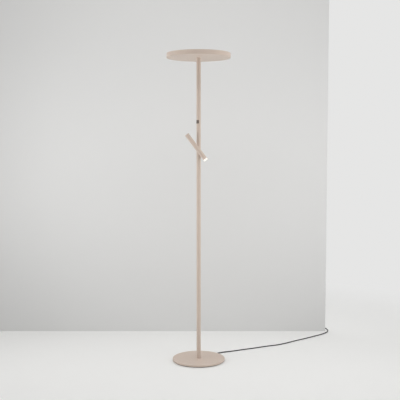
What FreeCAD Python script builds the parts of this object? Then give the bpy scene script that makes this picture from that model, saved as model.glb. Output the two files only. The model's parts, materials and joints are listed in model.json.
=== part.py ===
"""A torchiere floor lamp with a reading light.

A heavy round base carries a slim pole.  A flat disc at its top throws light at the ceiling, and a
short cylindrical reading light turns on a friction pivot on the front of the pole.  Two small keys in
a dark window switch the two lights.  Millimetres, +Z up, +X to the right and -Y towards the viewer.
The origin is on the floor, on the axis of the pole.
"""
import FreeCAD, Part

import math
import os

V = FreeCAD.Vector
Z_AXIS = V(0, 0, 1)
FRONT = V(0, -1, 0)

# ---- Sizes that are chosen -------------------------------------------------------------------

overall_height = 1800.0

# clearances, on the radius or between two faces
seat_gap = 0.05            # pressed, screwed and glued seats
running_gap = 0.08         # a shaft that turns or slides in its hole
thrust_gap = 0.25          # flat faces of two pieces that move past each other
key_gap = 0.3              # round a key in its window
weld = 0.5                 # how far two lumps of one piece run into each other

# base
base_radius = 154.0
base_thickness = 10.0
base_edge_chamfer = 1.2
pad_height = 4.0
pad_inset = 8.0
foot_pocket_radius = 9.0
lead_channel_width = 4.2
lead_channel_depth = 4.2

# pole
pole_radius = 12.5
pole_wall = 1.5
pole_sections = 3
pole_end_chamfer = 0.4     # on the lower end of a section, where it meets the one below
insert_height = 24.0
coupler_length = 60.0
coupler_wall = 2.5
stud_outer_radius = 6.0
stud_bore_radius = 3.8
stud_in_base = 6.0

# uplight head
head_radius = 185.0
head_depth = 25.0
pan_wall = 1.5
pan_bottom_chamfer = 1.5
rim_lip_height = 2.0       # the rim stands this far above the diffuser
diffuser_thickness = 2.0
light_gap = 5.0            # between the LED boards and the diffuser
carrier_side = 236.0
carrier_thickness = 1.5
board_count = 5
board_pitch = 46.0
board_length = 216.0
led_board_width = 14.0
led_board_thickness = 1.6
chips_per_board = 4
chip_size = 3.0
chip_height = 0.8
standoff_inset = 10.0      # of a post from the edges of the carrier plate
standoff_across_flats = 7.0
diffuser_post_circle = 174.0
hub_plate_side = 72.0
hub_plate_thickness = 2.0
nut_across_flats = 17.0
nut_height = 3.0
stud_above_nut = 0.6
driver_length = 118.0
driver_width = 42.0
driver_height = 9.5
driver_corner = 4.0
driver_offset = 78.0

# control window on the pole
control_height = 1408.0
control_turn = 42.0        # degrees from the front towards the left
window_width = 19.0
window_height = 19.6
window_corner = 1.2
window_proud = 0.8
opening_width = 15.0
opening_height = 16.0
guide_depth = 3.6          # of the key guide, behind the face of the window
tray_gap = 0.2             # round the key guide in the pole's opening
tray_side_wall = 1.6
tray_end_wall = 1.2
tray_bar = 1.0             # between the two keys
key_proud = 0.8
key_travel = 0.8
key_corner = 0.9
key_flange_width = 0.9
key_flange_thickness = 0.9
leg_thickness = 1.0
leg_width = 5.0
hook_reach = 0.8
hook_height = 0.8
board_thickness = 1.2
board_width = 14.0
switch_size = 5.6
switch_height = 3.4
plunger_width = 2.2
plunger_depth = 0.6
plunger_end_gap = 0.4      # under the pin when its key is pressed
switch_end_gap = 0.1       # between a pressed key and its switch

# reading light
pivot_height = 1243.4
reading_tilt = 37.0        # degrees of the lens end from straight down, to the right
reading_radius = 12.5
reading_wall = 1.5
reading_below_pivot = 72.1
reading_above_pivot = 114.3
lens_length = 9.5
lens_spigot_length = 5.0
cap_length = 12.0
groove_width = 1.2         # of the fine grooves between the tube and its lens and cap
spigot_length = 8.0
reading_board_side = 13.0
reading_board_thickness = 1.6
reading_chip_side = 6.0
reading_chip_height = 1.2
heatsink_length = 30.0
heatsink_slot_count = 4
heatsink_slot_width = 2.4
heatsink_slot_depth = 3.0
block_length = 22.0

# friction pivot of the reading light
saddle_radius = 8.0
saddle_thickness = 2.0     # at its thinnest
stud_radius = 4.0
stud_bore = 2.2
stud_in_block = 8.6
stud_past_nut = 0.8
inner_saddle_width = 13.0
inner_saddle_thickness = 2.4
pivot_nut_across_flats = 12.0
pivot_nut_height = 3.0
stop_pin_radius = 1.0
stop_pin_reach = 0.9       # past the face of the turning saddle
stop_pin_circle = 6.0
stop_groove_floor = 0.3    # under the tip of the pin
stop_end_gap = 0.1         # between the pin and the end of the groove at the end of travel
stop_travel = 330.0        # degrees, half each way from straight down

# wiring and the mains cord
lead_radius = 1.5
lead_height = 5.8
lead_bend = 5.0
lead_over_stud = 1.2
cord_radius = 3.0
cord_sides = 6             # cords and leads have flat sides, and corners a radius from their middle
cord_exit_turn = 48.0      # degrees from +X towards the back
relief_inside = 14.0
relief_outside = 20.0
relief_big_radius = 4.8    # to the corners of its six sides
relief_small_radius = 3.9
relief_height = 5.0
relief_flange_radius = 5.4
relief_flange_length = 2.5
cord_first_run = 22.0
cord_last_run = 42.0

# put-away end of the cord
coil_first_heading = 165.0
coil_start = (812.0, 810.0)
coil_radius = 38.0
coil_pitch = 6.6
coil_half_turns_down = 2
coil_half_turns_up = 1
tie_width = 6.0
tie_wall = 0.6
tie_gap = 0.3
tie_side_gap = 0.9
tie_corner = 2.0
tail_level_run = 24.0
tail_drop_run = 28.0
tail_last_run = 22.0
plug_width = 35.0
plug_thickness = 13.8
plug_neck_width = 15.0
plug_neck_length = 7.0
plug_shoulder_length = 12.0
plug_front_length = 17.0
plug_chamfer = 1.6
boot_length = 18.0
boot_big_radius = 5.4
boot_small_radius = 3.8
plug_pin_radius = 2.0
plug_pin_length = 19.0
plug_pin_spacing = 18.6
plug_pin_seat = 6.0

# The free cord on the floor, as it lies: seen from above, from behind the base to the turn round
# which it goes out of sight.
cord_bends = [
    (203.0, 179.0), (281.0, 219.0), (352.0, 252.0), (431.0, 295.0), (507.0, 325.0), (572.0, 375.0),
    (640.0, 434.0), (707.0, 486.0), (776.0, 543.0), (836.0, 597.0), (876.0, 646.0), (893.0, 700.0),
    (886.0, 756.0),
]

# ---- Sizes that follow -----------------------------------------------------------------------

base_top = pad_height + base_thickness
pole_bore = pole_radius - pole_wall
head_bottom = overall_height - head_depth
pan_floor = head_bottom + pan_wall
section_length = (head_bottom - base_top) / pole_sections
diffuser_top = overall_height - rim_lip_height
diffuser_bottom = diffuser_top - diffuser_thickness
boards_top = diffuser_bottom - light_gap
carrier_top = boards_top - led_board_thickness
carrier_bottom = carrier_top - carrier_thickness
head_bore = head_radius - pan_wall
window_face = pole_radius + window_proud
tray_width = opening_width - 2 * tray_gap
tray_height = opening_height - 2 * tray_gap
tray_back = window_face - guide_depth
reading_axis = pole_radius + 2 * saddle_thickness + thrust_gap + reading_radius
reading_bore = reading_radius - reading_wall
cord_half_height = cord_radius * math.cos(math.pi / cord_sides)
tube_front = -reading_below_pivot + lens_length + groove_width
tube_rear = reading_above_pivot - cap_length


# ---- Helpers ---------------------------------------------------------------------------------

def save(shape, node):
    """Write one piece as its own file."""
    shape.exportStep("parts/" + node + ".step")


def disc(radius, bottom, top):
    """An upright cylinder on the axis of the pole."""
    return Part.makeCylinder(radius, top - bottom, V(0, 0, bottom))


def ring(outer, inner, bottom, top):
    """An upright tube on the axis of the pole."""
    return disc(outer, bottom, top).cut(disc(inner, bottom - 1, top + 1))


def flat_face(points):
    """The flat face inside an outline of corner points."""
    return Part.Face(Part.makePolygon(points + [points[0]]))


def turned(profile):
    """A piece turned about the upright axis from a closed outline of (radius, height) points."""
    return flat_face([V(radius, 0, height) for radius, height in profile]).revolve(V(0, 0, 0), Z_AXIS, 360)


def front_rod(radius, near, far, height=0.0):
    """A cylinder that points to the front, from one distance off the pole's axis to another."""
    return Part.makeCylinder(radius, far - near, V(0, -near, height), FRONT)


def front_block(width, near, far, low, high):
    """A square block in front of the pole's axis, between two distances and two heights."""
    return Part.makeBox(width, far - near, high - low, V(-width / 2, -far, low))


def front_plate(width, height, corner, near, far):
    """A block like that, about height 0, with its four long edges broken."""
    block = front_block(width, near, far, -height / 2, height / 2)
    edges = [edge for edge in block.Edges if abs(edge.BoundBox.YLength - (far - near)) < 0.001]
    return block.makeChamfer(corner, edges)


def hex_prism(across_flats, bottom, top):
    """An upright six-sided prism."""
    corner = across_flats / math.sqrt(3)
    turns = [math.radians(60 * k) for k in range(6)]
    points = [V(corner * math.cos(turn), corner * math.sin(turn), bottom) for turn in turns]
    return flat_face(points).extrude(V(0, 0, top - bottom))


def around(shape, count, step=None):
    """Copies of a piece at even steps about the upright axis."""
    step = 360.0 / count if step is None else step
    return [shape.rotated(V(0, 0, 0), Z_AXIS, k * step) for k in range(count)]


def turn_to_control(shape):
    """Carry a piece from the front of the pole round to the control window."""
    return shape.rotated(V(0, 0, 0), Z_AXIS, -control_turn).translated(V(0, 0, control_height))


def place_reading(shape):
    """Carry a piece from an upright reading light to the light's place and tilt."""
    tilted = shape.rotated(V(0, 0, 0), V(0, 1, 0), -reading_tilt)
    return tilted.translated(V(0, -reading_axis, pivot_height))


def bend_radius(before, corner, after):
    """The largest arc at a corner of a route, and the half turn that it makes."""
    run = min((corner - before).Length, (after - corner).Length)
    half_turn = (corner - before).getAngle(after - corner) / 2
    return 0.45 * run / math.tan(half_turn), half_turn


def rounded_route(points, radius=None):
    """Straight runs joined by tangent arcs; each arc is as large as its runs allow, or as given."""
    edges = []
    radii = []
    start = points[0]
    for before, corner, after in zip(points, points[1:], points[2:]):
        largest, half_turn = bend_radius(before, corner, after)
        bend = largest if radius is None else radius
        reach = bend * math.tan(half_turn)
        into = (corner - before).normalize()
        out = (after - corner).normalize()
        arc_start = corner - into * reach
        arc_end = corner + out * reach
        inward = (out - into).normalize()
        middle = corner + inward * (bend / math.cos(half_turn) - bend)
        edges.append(Part.LineSegment(start, arc_start).toShape())
        edges.append(Part.Arc(arc_start, middle, arc_end).toShape())
        radii.append(bend)
        start = arc_end
    edges.append(Part.LineSegment(start, points[-1]).toShape())
    return Part.Wire(edges), radii


def cord_section(path, radius):
    """The six-sided section at the start of a cord, with a flat above and a flat below."""
    first = path.Edges[0]
    start = first.valueAt(first.FirstParameter)
    heading = first.tangentAt(first.FirstParameter)
    side = heading.cross(Z_AXIS).normalize()
    above = side.cross(heading)
    turns = [2 * math.pi * k / cord_sides for k in range(cord_sides)]
    points = [start + side * (radius * math.cos(turn)) + above * (radius * math.sin(turn)) for turn in turns]
    return Part.makePolygon(points + [points[0]])


def tube_along(path, radius):
    """A cord along a path, square at both ends."""
    return path.makePipeShell([cord_section(path, radius)], True, False)


def report_tube(name, tube, path, radius, radii):
    """Print the tube's volume beside its section times its length, and its bends."""
    expected = Part.Face(cord_section(path, radius)).Area * path.Length
    bends = " ".join("%.0f" % bend for bend in radii)
    print("%s: length %.1f, volume %.0f, section x length %.0f, radii %s"
          % (name, path.Length, tube.Volume, expected, bends))


# ---- Base ------------------------------------------------------------------------------------

def exit_direction():
    """The level direction in which the cord leaves the base."""
    angle = math.radians(cord_exit_turn)
    return V(math.cos(angle), math.sin(angle), 0)


def to_exit(shape):
    """Turn a piece that points along +X to the cord's exit."""
    return shape.rotated(V(0, 0, 0), Z_AXIS, cord_exit_turn)


def relief_start():
    """Distance of the strain relief's inner end from the axis."""
    return base_radius - relief_inside


def six_sided_taper(start_radius, end_radius, start, end, height):
    """A six-sided bar along +X whose corners draw in from one radius to another."""
    rings = []
    for radius, along in ((start_radius, start), (end_radius, end)):
        turns = [2 * math.pi * k / cord_sides for k in range(cord_sides)]
        rings.append([V(along, radius * math.cos(turn), height + radius * math.sin(turn)) for turn in turns])
    first, last = rings
    faces = [flat_face(first), flat_face(last)]
    for k in range(cord_sides):
        after = (k + 1) % cord_sides
        faces.append(flat_face([first[k], first[after], last[after], last[k]]))
    return Part.makeSolid(Part.makeShell(faces))


def relief_body(extra):
    """The outside of the strain relief, along +X, larger all round by a little."""
    inner = relief_start() - extra
    end = base_radius + relief_outside
    taper = six_sided_taper(relief_big_radius + extra, relief_small_radius + extra, inner, end, relief_height)
    flange = six_sided_taper(relief_flange_radius + extra, relief_flange_radius + extra, inner,
                             inner + relief_flange_length + 2 * extra, relief_height)
    return taper.fuse(flange)


def lead_channel():
    """The groove under the base in which the lead runs from the rim to the foot of the pole."""
    groove = Part.makeBox(relief_start(), lead_channel_width, lead_channel_depth,
                          V(0, -lead_channel_width / 2, pad_height))
    return to_exit(groove)


def base_plate():
    """The steel disc, with its broken rim, threaded centre, pocket and groove for the lead."""
    shoulder = base_top - base_edge_chamfer
    plate = turned([(0, pad_height), (base_radius, pad_height), (base_radius, shoulder),
                    (base_radius - base_edge_chamfer, base_top), (0, base_top)])
    plate = plate.cut(disc(stud_outer_radius + seat_gap, pad_height - 1, base_top + 1))
    plate = plate.cut(disc(foot_pocket_radius, pad_height - 1, base_top - stud_in_base))
    plate = plate.cut(lead_channel())
    return plate.cut(to_exit(relief_body(seat_gap)))


def base_pad():
    """The dark foam disc under the base, notched for the strain relief."""
    pad = disc(base_radius - pad_inset, 0, pad_height)
    notch = Part.makeBox(base_radius, 2 * (relief_flange_radius + seat_gap), 2 * pad_height,
                         V(relief_start() - seat_gap, -relief_flange_radius - seat_gap, -1))
    return pad.cut(to_exit(notch))


def cord_relief():
    """The tapered six-sided rubber bush in the rim that holds the cord."""
    return to_exit(relief_body(0))


# ---- Pole ------------------------------------------------------------------------------------

def section_joint(index):
    """Height of the lower end of one section of the pole."""
    return base_top + index * section_length


def pole_tube(index):
    """One section of the pole; all but the lowest have a fine broken edge where they meet the next."""
    bottom = section_joint(index)
    top = section_joint(index + 1)
    if index == 0:
        return pierced(ring(pole_radius, pole_bore, bottom, top))
    return pierced(turned([(pole_bore, bottom), (pole_radius - pole_end_chamfer, bottom),
                           (pole_radius, bottom + pole_end_chamfer), (pole_radius, top), (pole_bore, top)]))


def pierced(tube):
    """A piece of the pole with the openings for the control window and the pivot, where they reach it."""
    opening = front_block(opening_width, 0, 2 * pole_radius, -opening_height / 2, opening_height / 2)
    tube = tube.cut(turn_to_control(opening))
    return tube.cut(front_rod(stud_radius + running_gap, 0, 2 * pole_radius, pivot_height))


def end_plug(face, inward, stud_end):
    """A turned plug in one end of the pole, with the hollow threaded stud that stands out of it."""
    far = face + inward * insert_height
    seat = pole_bore - seat_gap
    return turned([(stud_bore_radius, stud_end), (stud_outer_radius, stud_end), (stud_outer_radius, face),
                   (seat, face), (seat, far), (stud_bore_radius, far)])


def pole_plugs():
    """The plugs that screw the pole to the base and to the head, and let the lead through."""
    foot = end_plug(base_top, 1, base_top - stud_in_base)
    top = end_plug(head_bottom, -1, head_stud_top())
    return Part.makeCompound([foot, top])


def pole_couplers():
    """The sleeves inside the pole where its sections meet."""
    outer = pole_bore - seat_gap
    half = coupler_length / 2
    middles = [section_joint(index) for index in range(1, pole_sections)]
    return Part.makeCompound([ring(outer, outer - coupler_wall, middle - half, middle + half)
                              for middle in middles])


# ---- Uplight head ----------------------------------------------------------------------------

def head_pan():
    """The flat pan: underside and rim pressed from one sheet, open at the top."""
    corner = pan_bottom_chamfer
    hole = stud_outer_radius + seat_gap
    return turned([(hole, head_bottom), (head_radius - corner, head_bottom),
                   (head_radius, head_bottom + corner), (head_radius, overall_height),
                   (head_bore, overall_height), (head_bore, pan_floor), (hole, pan_floor)])


def hub_plate():
    """The square stiffening plate inside the pan, under the nut."""
    half = hub_plate_side / 2
    plate = Part.makeBox(hub_plate_side, hub_plate_side, hub_plate_thickness, V(-half, -half, pan_floor))
    return plate.cut(disc(stud_outer_radius + seat_gap, pan_floor - 1, overall_height))


def head_nut():
    """The nut that clamps the head to the pole."""
    bottom = pan_floor + hub_plate_thickness
    nut = hex_prism(nut_across_flats, bottom, bottom + nut_height)
    return nut.cut(disc(stud_outer_radius + seat_gap, bottom - 1, bottom + nut_height + 1))


def head_stud_top():
    """Height of the upper end of the head's stud."""
    return pan_floor + hub_plate_thickness + nut_height + stud_above_nut


def standoffs():
    """The six-sided posts that carry the light unit above the floor of the pan."""
    reach = carrier_side / 2 - standoff_inset
    post = hex_prism(standoff_across_flats, pan_floor, carrier_bottom)
    return Part.makeCompound([post.translated(V(x, y, 0)) for x in (-reach, reach) for y in (-reach, reach)])


def diffuser_posts():
    """The taller posts near the rim, on which the diffuser rests."""
    post = hex_prism(standoff_across_flats, pan_floor, diffuser_bottom)
    return Part.makeCompound(around(post.translated(V(diffuser_post_circle, 0, 0)), 4))


def carrier_plate():
    """The square aluminium plate that carries the LED boards."""
    half = carrier_side / 2
    return Part.makeBox(carrier_side, carrier_side, carrier_thickness, V(-half, -half, carrier_bottom))


def led_board(across):
    """One LED board with its row of chips, at a distance across the head."""
    board = Part.makeBox(board_length, led_board_width, led_board_thickness,
                         V(-board_length / 2, across - led_board_width / 2, carrier_top))
    pitch = board_length / chips_per_board
    for k in range(chips_per_board):
        start = -board_length / 2 + (k + 0.5) * pitch - chip_size / 2
        chip = Part.makeBox(chip_size, chip_size, chip_height, V(start, across - chip_size / 2, boards_top))
        board = board.fuse(chip)
    return board


def led_boards():
    """The boards with the chips that light the head, side by side on the carrier plate."""
    first = -board_pitch * (board_count - 1) / 2
    return Part.makeCompound([led_board(first + k * board_pitch) for k in range(board_count)])


def diffuser():
    """The opal disc that closes the head."""
    return disc(head_bore - seat_gap, diffuser_bottom, diffuser_top)


def driver():
    """The power supply on the floor of the pan, behind the hub."""
    box = Part.makeBox(driver_length, driver_width, driver_height,
                       V(-driver_length / 2, driver_offset - driver_width / 2, pan_floor))
    upright = [edge for edge in box.Edges if abs(edge.BoundBox.ZLength - driver_height) < 0.001]
    return box.makeChamfer(driver_corner, upright)


# ---- Control window --------------------------------------------------------------------------

def key_aperture_height():
    """Height of the gap in which each key slides."""
    return (tray_height - 2 * tray_end_wall - tray_bar) / 2


def key_centre(upper):
    """Height of a key above or below the middle of the window."""
    return (1 if upper else -1) * (tray_bar + key_aperture_height()) / 2


def key_aperture_width():
    """Width of the gap in which each key slides."""
    return tray_width - 2 * tray_side_wall


def flange_back():
    """Distance from the pole's axis to the back of a key's flange."""
    return tray_back - thrust_gap - key_flange_thickness


def switch_face():
    """Distance from the pole's axis to the face of the switches, just past the end of travel."""
    return flange_back() - key_travel - switch_end_gap


def board_face():
    """Distance from the pole's axis to the front of the circuit board."""
    return switch_face() - switch_height


def leg_start():
    """Height from the middle of the window to the inner face of a snap leg."""
    return tray_height / 2 - leg_thickness


def control_window():
    """The dark curved frame, its key guide and the two snap legs that hold the circuit board."""
    frame = front_plate(window_width, window_height, window_corner, 0, 2 * pole_radius)
    shell = ring(window_face, pole_radius + seat_gap, -window_height, window_height)
    window = shell.common(frame)
    tray = front_block(tray_width, tray_back, 2 * pole_radius, -tray_height / 2, tray_height / 2)
    window = window.fuse(tray.common(disc(window_face, -window_height, window_height)))
    for upper in (True, False):
        middle = key_centre(upper)
        half = key_aperture_height() / 2
        gap = front_block(key_aperture_width(), 0, 2 * pole_radius, middle - half, middle + half)
        window = window.cut(gap)
    hook_top = board_face() - board_thickness - seat_gap
    for side in (1, -1):
        low, high = sorted((side * leg_start(), side * (leg_start() + leg_thickness)))
        window = window.fuse(front_block(leg_width, hook_top - hook_height, tray_back + weld, low, high))
        low, high = sorted((side * (leg_start() - hook_reach), side * (leg_start() + leg_thickness)))
        window = window.fuse(front_block(leg_width, hook_top - hook_height, hook_top, low, high))
    return turn_to_control(window.removeSplitter())


def key(upper):
    """A push key with a curved face and a flange that keeps it in its guide."""
    width = key_aperture_width() - 2 * key_gap
    height = key_aperture_height() - 2 * key_gap
    stem = front_plate(width, height, key_corner, flange_back() + key_flange_thickness / 2, 2 * pole_radius)
    stem = stem.common(disc(window_face + key_proud, -height, height))
    flange = front_block(key_aperture_width() + 2 * key_flange_width, flange_back(),
                         flange_back() + key_flange_thickness, -height / 2, height / 2)
    body = stem.fuse(flange).removeSplitter()
    return turn_to_control(body.translated(V(0, 0, key_centre(upper))))


def switch_bar(width, near, far, upper):
    """A square bar that points to the front, on the middle of a key."""
    middle = key_centre(upper)
    return front_block(width, near, far, middle - width / 2, middle + width / 2)


def plunger(upper):
    """The pin of a switch, pushed in by its key."""
    return turn_to_control(switch_bar(plunger_width, switch_face() - plunger_depth, flange_back(), upper))


def control_switches():
    """The two switch bodies on the circuit board, each bored for its pin."""
    bodies = []
    for upper in (True, False):
        middle = key_centre(upper)
        half = min(switch_size, key_aperture_height()) / 2
        body = front_block(switch_size, board_face(), switch_face(), middle - half, middle + half)
        bore_end = switch_face() - plunger_depth - key_travel - plunger_end_gap
        bore = switch_bar(plunger_width + 2 * running_gap, bore_end, switch_face() + 1, upper)
        bodies.append(turn_to_control(body.cut(bore)))
    return Part.makeCompound(bodies)


def control_board():
    """The small circuit board behind the keys."""
    half = leg_start() - tray_gap
    board = front_block(board_width, board_face() - board_thickness, board_face(), -half, half)
    return turn_to_control(board)


# ---- Reading light ---------------------------------------------------------------------------

def reading_tube():
    """The body of the reading light, drilled at the back for the pivot."""
    tube = ring(reading_radius, reading_bore, tube_front, tube_rear)
    hole = Part.makeCylinder(stud_radius + seat_gap, 2 * reading_radius, V(0, 0, 0), V(0, 1, 0))
    return place_reading(tube.cut(hole))


def reading_cap():
    """The rear cap, with a fine groove where it meets the tube."""
    spigot = reading_bore - seat_gap
    step = tube_rear + groove_width
    neck = disc(spigot, tube_rear - spigot_length, step + weld)
    cap = neck.fuse(disc(reading_radius, step, reading_above_pivot))
    return place_reading(cap.removeSplitter())


def reading_lens():
    """The opal lens, as wide as the tube, that glows to the side as well."""
    bottom = -reading_below_pivot
    step = bottom + lens_length
    spigot = disc(reading_bore - seat_gap, step - weld, tube_front + lens_spigot_length)
    return place_reading(disc(reading_radius, bottom, step).fuse(spigot).removeSplitter())


def reading_board_bottom():
    """Height of the front face of the LED board."""
    return tube_front + lens_spigot_length + reading_chip_height + seat_gap


def square_block(side, bottom, top):
    """A square block on the axis of the reading light."""
    return Part.makeBox(side, side, top - bottom, V(-side / 2, -side / 2, bottom))


def reading_led():
    """The square LED board with its chip."""
    face = reading_board_bottom()
    board = square_block(reading_board_side, face, face + reading_board_thickness)
    return place_reading(board.fuse(square_block(reading_chip_side, face - reading_chip_height, face)))


def reading_heatsink():
    """The slotted aluminium slug that the LED board is fixed to."""
    bottom = reading_board_bottom() + reading_board_thickness
    radius = reading_bore - seat_gap
    slug = disc(radius, bottom, bottom + heatsink_length)
    slot = Part.makeBox(2 * heatsink_slot_depth, heatsink_slot_width, heatsink_length + 2,
                        V(radius - heatsink_slot_depth, -heatsink_slot_width / 2, bottom - 1))
    for cutter in around(slot, heatsink_slot_count):
        slug = slug.cut(cutter)
    return place_reading(slug)


def pivot_block():
    """The square slug inside the reading light into which the pivot stud is screwed."""
    side = (reading_bore - seat_gap) * math.sqrt(2)
    block = square_block(side, -block_length / 2, block_length / 2)
    hole = Part.makeCylinder(stud_radius + seat_gap, 2 * reading_radius, V(0, 0, 0), V(0, 1, 0))
    return place_reading(block.cut(hole))


# ---- Friction pivot --------------------------------------------------------------------------

def turning_face():
    """Distance from the pole's axis to the face of the saddle that turns with the light."""
    return pole_radius + saddle_thickness + thrust_gap


def pole_saddle():
    """The fixed saddle, hollowed to the pole, with the stop pin on its flat face."""
    face = pole_radius + saddle_thickness
    saddle = front_rod(saddle_radius, 0, face)
    saddle = saddle.cut(disc(pole_radius + seat_gap, -2 * saddle_radius, 2 * saddle_radius))
    pin_tip = turning_face() + stop_pin_reach
    pin = front_rod(stop_pin_radius, face - weld, pin_tip, stop_pin_circle)
    saddle = saddle.fuse(pin)
    saddle = saddle.cut(front_rod(stud_radius + running_gap, 0, 2 * face))
    return saddle.translated(V(0, 0, pivot_height))


def stop_groove():
    """The arc that the stop pin runs in, cut into the face of the turning saddle."""
    width = stop_pin_radius + key_gap
    floor = turning_face() + stop_pin_reach + stop_groove_floor
    profile = Part.makePlane(2 * width, floor, V(stop_pin_circle - width, 0, 0), Z_AXIS)
    pin_angle = math.degrees(math.asin((stop_pin_radius + stop_end_gap) / stop_pin_circle))
    swept = stop_travel + 2 * pin_angle
    groove = profile.translated(V(0, -floor, 0)).revolve(V(0, 0, 0), V(0, 1, 0), -swept)
    # The middle of the groove is turned to the top, where the pin lies when the light hangs
    # straight down.
    return groove.rotated(V(0, 0, 0), V(0, 1, 0), swept / 2 - 90)


def lamp_saddle():
    """The turning saddle, hollowed to the reading light, with the groove for the stop pin."""
    near = turning_face()
    saddle = front_rod(saddle_radius, near, reading_axis)
    saddle = saddle.cut(front_rod(stud_radius + seat_gap, 0, 2 * reading_axis))
    saddle = saddle.cut(stop_groove())
    saddle = saddle.rotated(V(0, 0, 0), V(0, 1, 0), -reading_tilt).translated(V(0, 0, pivot_height))
    light = disc(reading_radius + seat_gap, -reading_below_pivot, reading_above_pivot)
    return saddle.cut(place_reading(light))


def inner_saddle_face():
    """Distance from the pole's axis to the flat face of the saddle inside the pole."""
    return pole_bore - inner_saddle_thickness


def pivot_inner_saddle():
    """The square saddle inside the pole, rounded to its bore and flat towards the axis."""
    half = inner_saddle_width / 2
    saddle = front_block(inner_saddle_width, inner_saddle_face(), pole_bore, -half, half)
    saddle = saddle.common(disc(pole_bore - seat_gap, -inner_saddle_width, inner_saddle_width))
    saddle = saddle.cut(front_rod(stud_radius + running_gap, 0, 2 * pole_radius))
    return saddle.translated(V(0, 0, pivot_height))


def pivot_nut_far():
    """Distance from the pole's axis to the nut's face on the saddle inside the pole."""
    return inner_saddle_face() - thrust_gap


def pivot_nut():
    """The lock nut on the stud, inside the pole."""
    nut = hex_prism(pivot_nut_across_flats, 0, pivot_nut_height)
    nut = nut.cut(disc(stud_radius + seat_gap, -1, pivot_nut_height + 1))
    nut = nut.rotated(V(0, 0, 0), V(1, 0, 0), 90)
    return nut.translated(V(0, -pivot_nut_far() + pivot_nut_height, pivot_height))


def pivot_stud():
    """The hollow stud on which the reading light turns; its lead goes through the bore."""
    near = pivot_nut_far() - pivot_nut_height - stud_past_nut
    far = reading_axis - reading_bore + stud_in_block
    stud = front_rod(stud_radius, near, far, pivot_height)
    return stud.cut(front_rod(stud_bore, near - 1, far + 1, pivot_height))


# ---- Wiring and cord -------------------------------------------------------------------------

def supply_lead():
    """The lead from the strain relief through the base and up the pole to the driver."""
    start = exit_direction() * relief_start()
    level = head_stud_top() + lead_radius + lead_over_stud
    points = [V(start.x, start.y, lead_height), V(0, 0, lead_height), V(0, 0, level),
              V(0, driver_offset - driver_width / 2, level)]
    path, radii = rounded_route(points, lead_bend)
    lead = tube_along(path, lead_radius)
    report_tube("supply_lead", lead, path, lead_radius, radii)
    return lead


def coil_layer_heights():
    """Heights of the middle of the cord in the lower and upper layer of the coil."""
    lower = tie_wall + tie_gap + cord_half_height
    return lower, lower + coil_pitch


def cord_points():
    """The route of the free cord, from the strain relief to the start of the coil."""
    direction = exit_direction()
    relief_end = direction * (base_radius + relief_outside)
    second = direction * (base_radius + relief_outside + cord_first_run)
    heading = math.radians(coil_first_heading)
    lower, _ = coil_layer_heights()
    last = V(coil_start[0], coil_start[1], lower)
    turn = last - V(math.cos(heading), math.sin(heading), 0) * cord_last_run
    points = [V(relief_end.x, relief_end.y, relief_height), V(second.x, second.y, relief_height)]
    points += [V(x, y, cord_half_height) for x, y in cord_bends]
    return points + [turn, last]


def cord_tube():
    """The free stretch of the mains cord on the floor."""
    path, radii = rounded_route(cord_points())
    tube = tube_along(path, cord_radius)
    report_tube("cord_tube", tube, path, cord_radius, radii)
    return tube


def coil_path():
    """The put-away cord: in on the floor, up a layer in the innermost half turn, and out again."""
    lower, upper = coil_layer_heights()
    heading = math.radians(coil_first_heading)
    tangent = V(math.cos(heading), math.sin(heading), 0)
    inward = V(-tangent.y, tangent.x, 0)
    point = V(coil_start[0], coil_start[1], lower)
    step = coil_pitch / 2
    count = coil_half_turns_down + 1 + coil_half_turns_up
    straight = point + tangent * (2 * cord_radius)
    edges = [Part.LineSegment(point, straight).toShape()]
    point = straight
    centre = point + inward * coil_radius
    for k in range(count):
        depth = min(k, 2 * coil_half_turns_down - k)
        radius = coil_radius - depth * step
        end = point + inward * (2 * radius)
        if k == coil_half_turns_down:
            rise = V(0, 0, upper - lower)
            end = end + rise
            reach = math.hypot(radius, rise.z / 2)
            crest = point + inward * radius + tangent * reach + rise * 0.5
            edges.append(biarc_half(point, tangent, crest))
            edges.append(biarc_half(end, tangent, crest, backwards=True))
        else:
            edges.append(Part.Arc(point, point + inward * radius + tangent * radius, end).toShape())
        point = end
        tangent = tangent * -1
        inward = inward * -1
    straight = point + tangent * (2 * cord_radius)
    edges.append(Part.LineSegment(point, straight).toShape())
    return Part.Wire(edges), straight, tangent, centre


def biarc_half(end, tangent, crest, backwards=False):
    """The arc from one end, along its tangent, to the crest of the climbing half turn."""
    chord = crest - end
    normal = (chord - tangent * chord.dot(tangent)).normalize()
    radius = chord.Length ** 2 / (2 * chord.dot(normal))
    centre = end + normal * radius
    middle = centre + ((end - centre) + (crest - centre)).normalize() * radius
    arc = (crest, middle, end) if backwards else (end, middle, crest)
    return Part.Arc(*arc).toShape()


def least_self_gap(path):
    """Least clear gap between turns of the cord, measured on points along it."""
    spacing = cord_radius / 2
    points = path.discretize(Distance=spacing)
    skip = int(4 * 2 * cord_radius / spacing)
    nearest = min((points[i] - points[j]).Length
                  for i in range(len(points)) for j in range(i + skip, len(points)))
    return nearest - 2 * cord_radius


def cord_coil():
    """The coil of put-away cord, one unbroken tube."""
    path, _, _, _ = coil_path()
    coil = tube_along(path, cord_radius)
    report_tube("cord_coil", coil, path, cord_radius, [])
    print("cord_coil: least gap to itself %.2f" % least_self_gap(path))
    return coil


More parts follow.
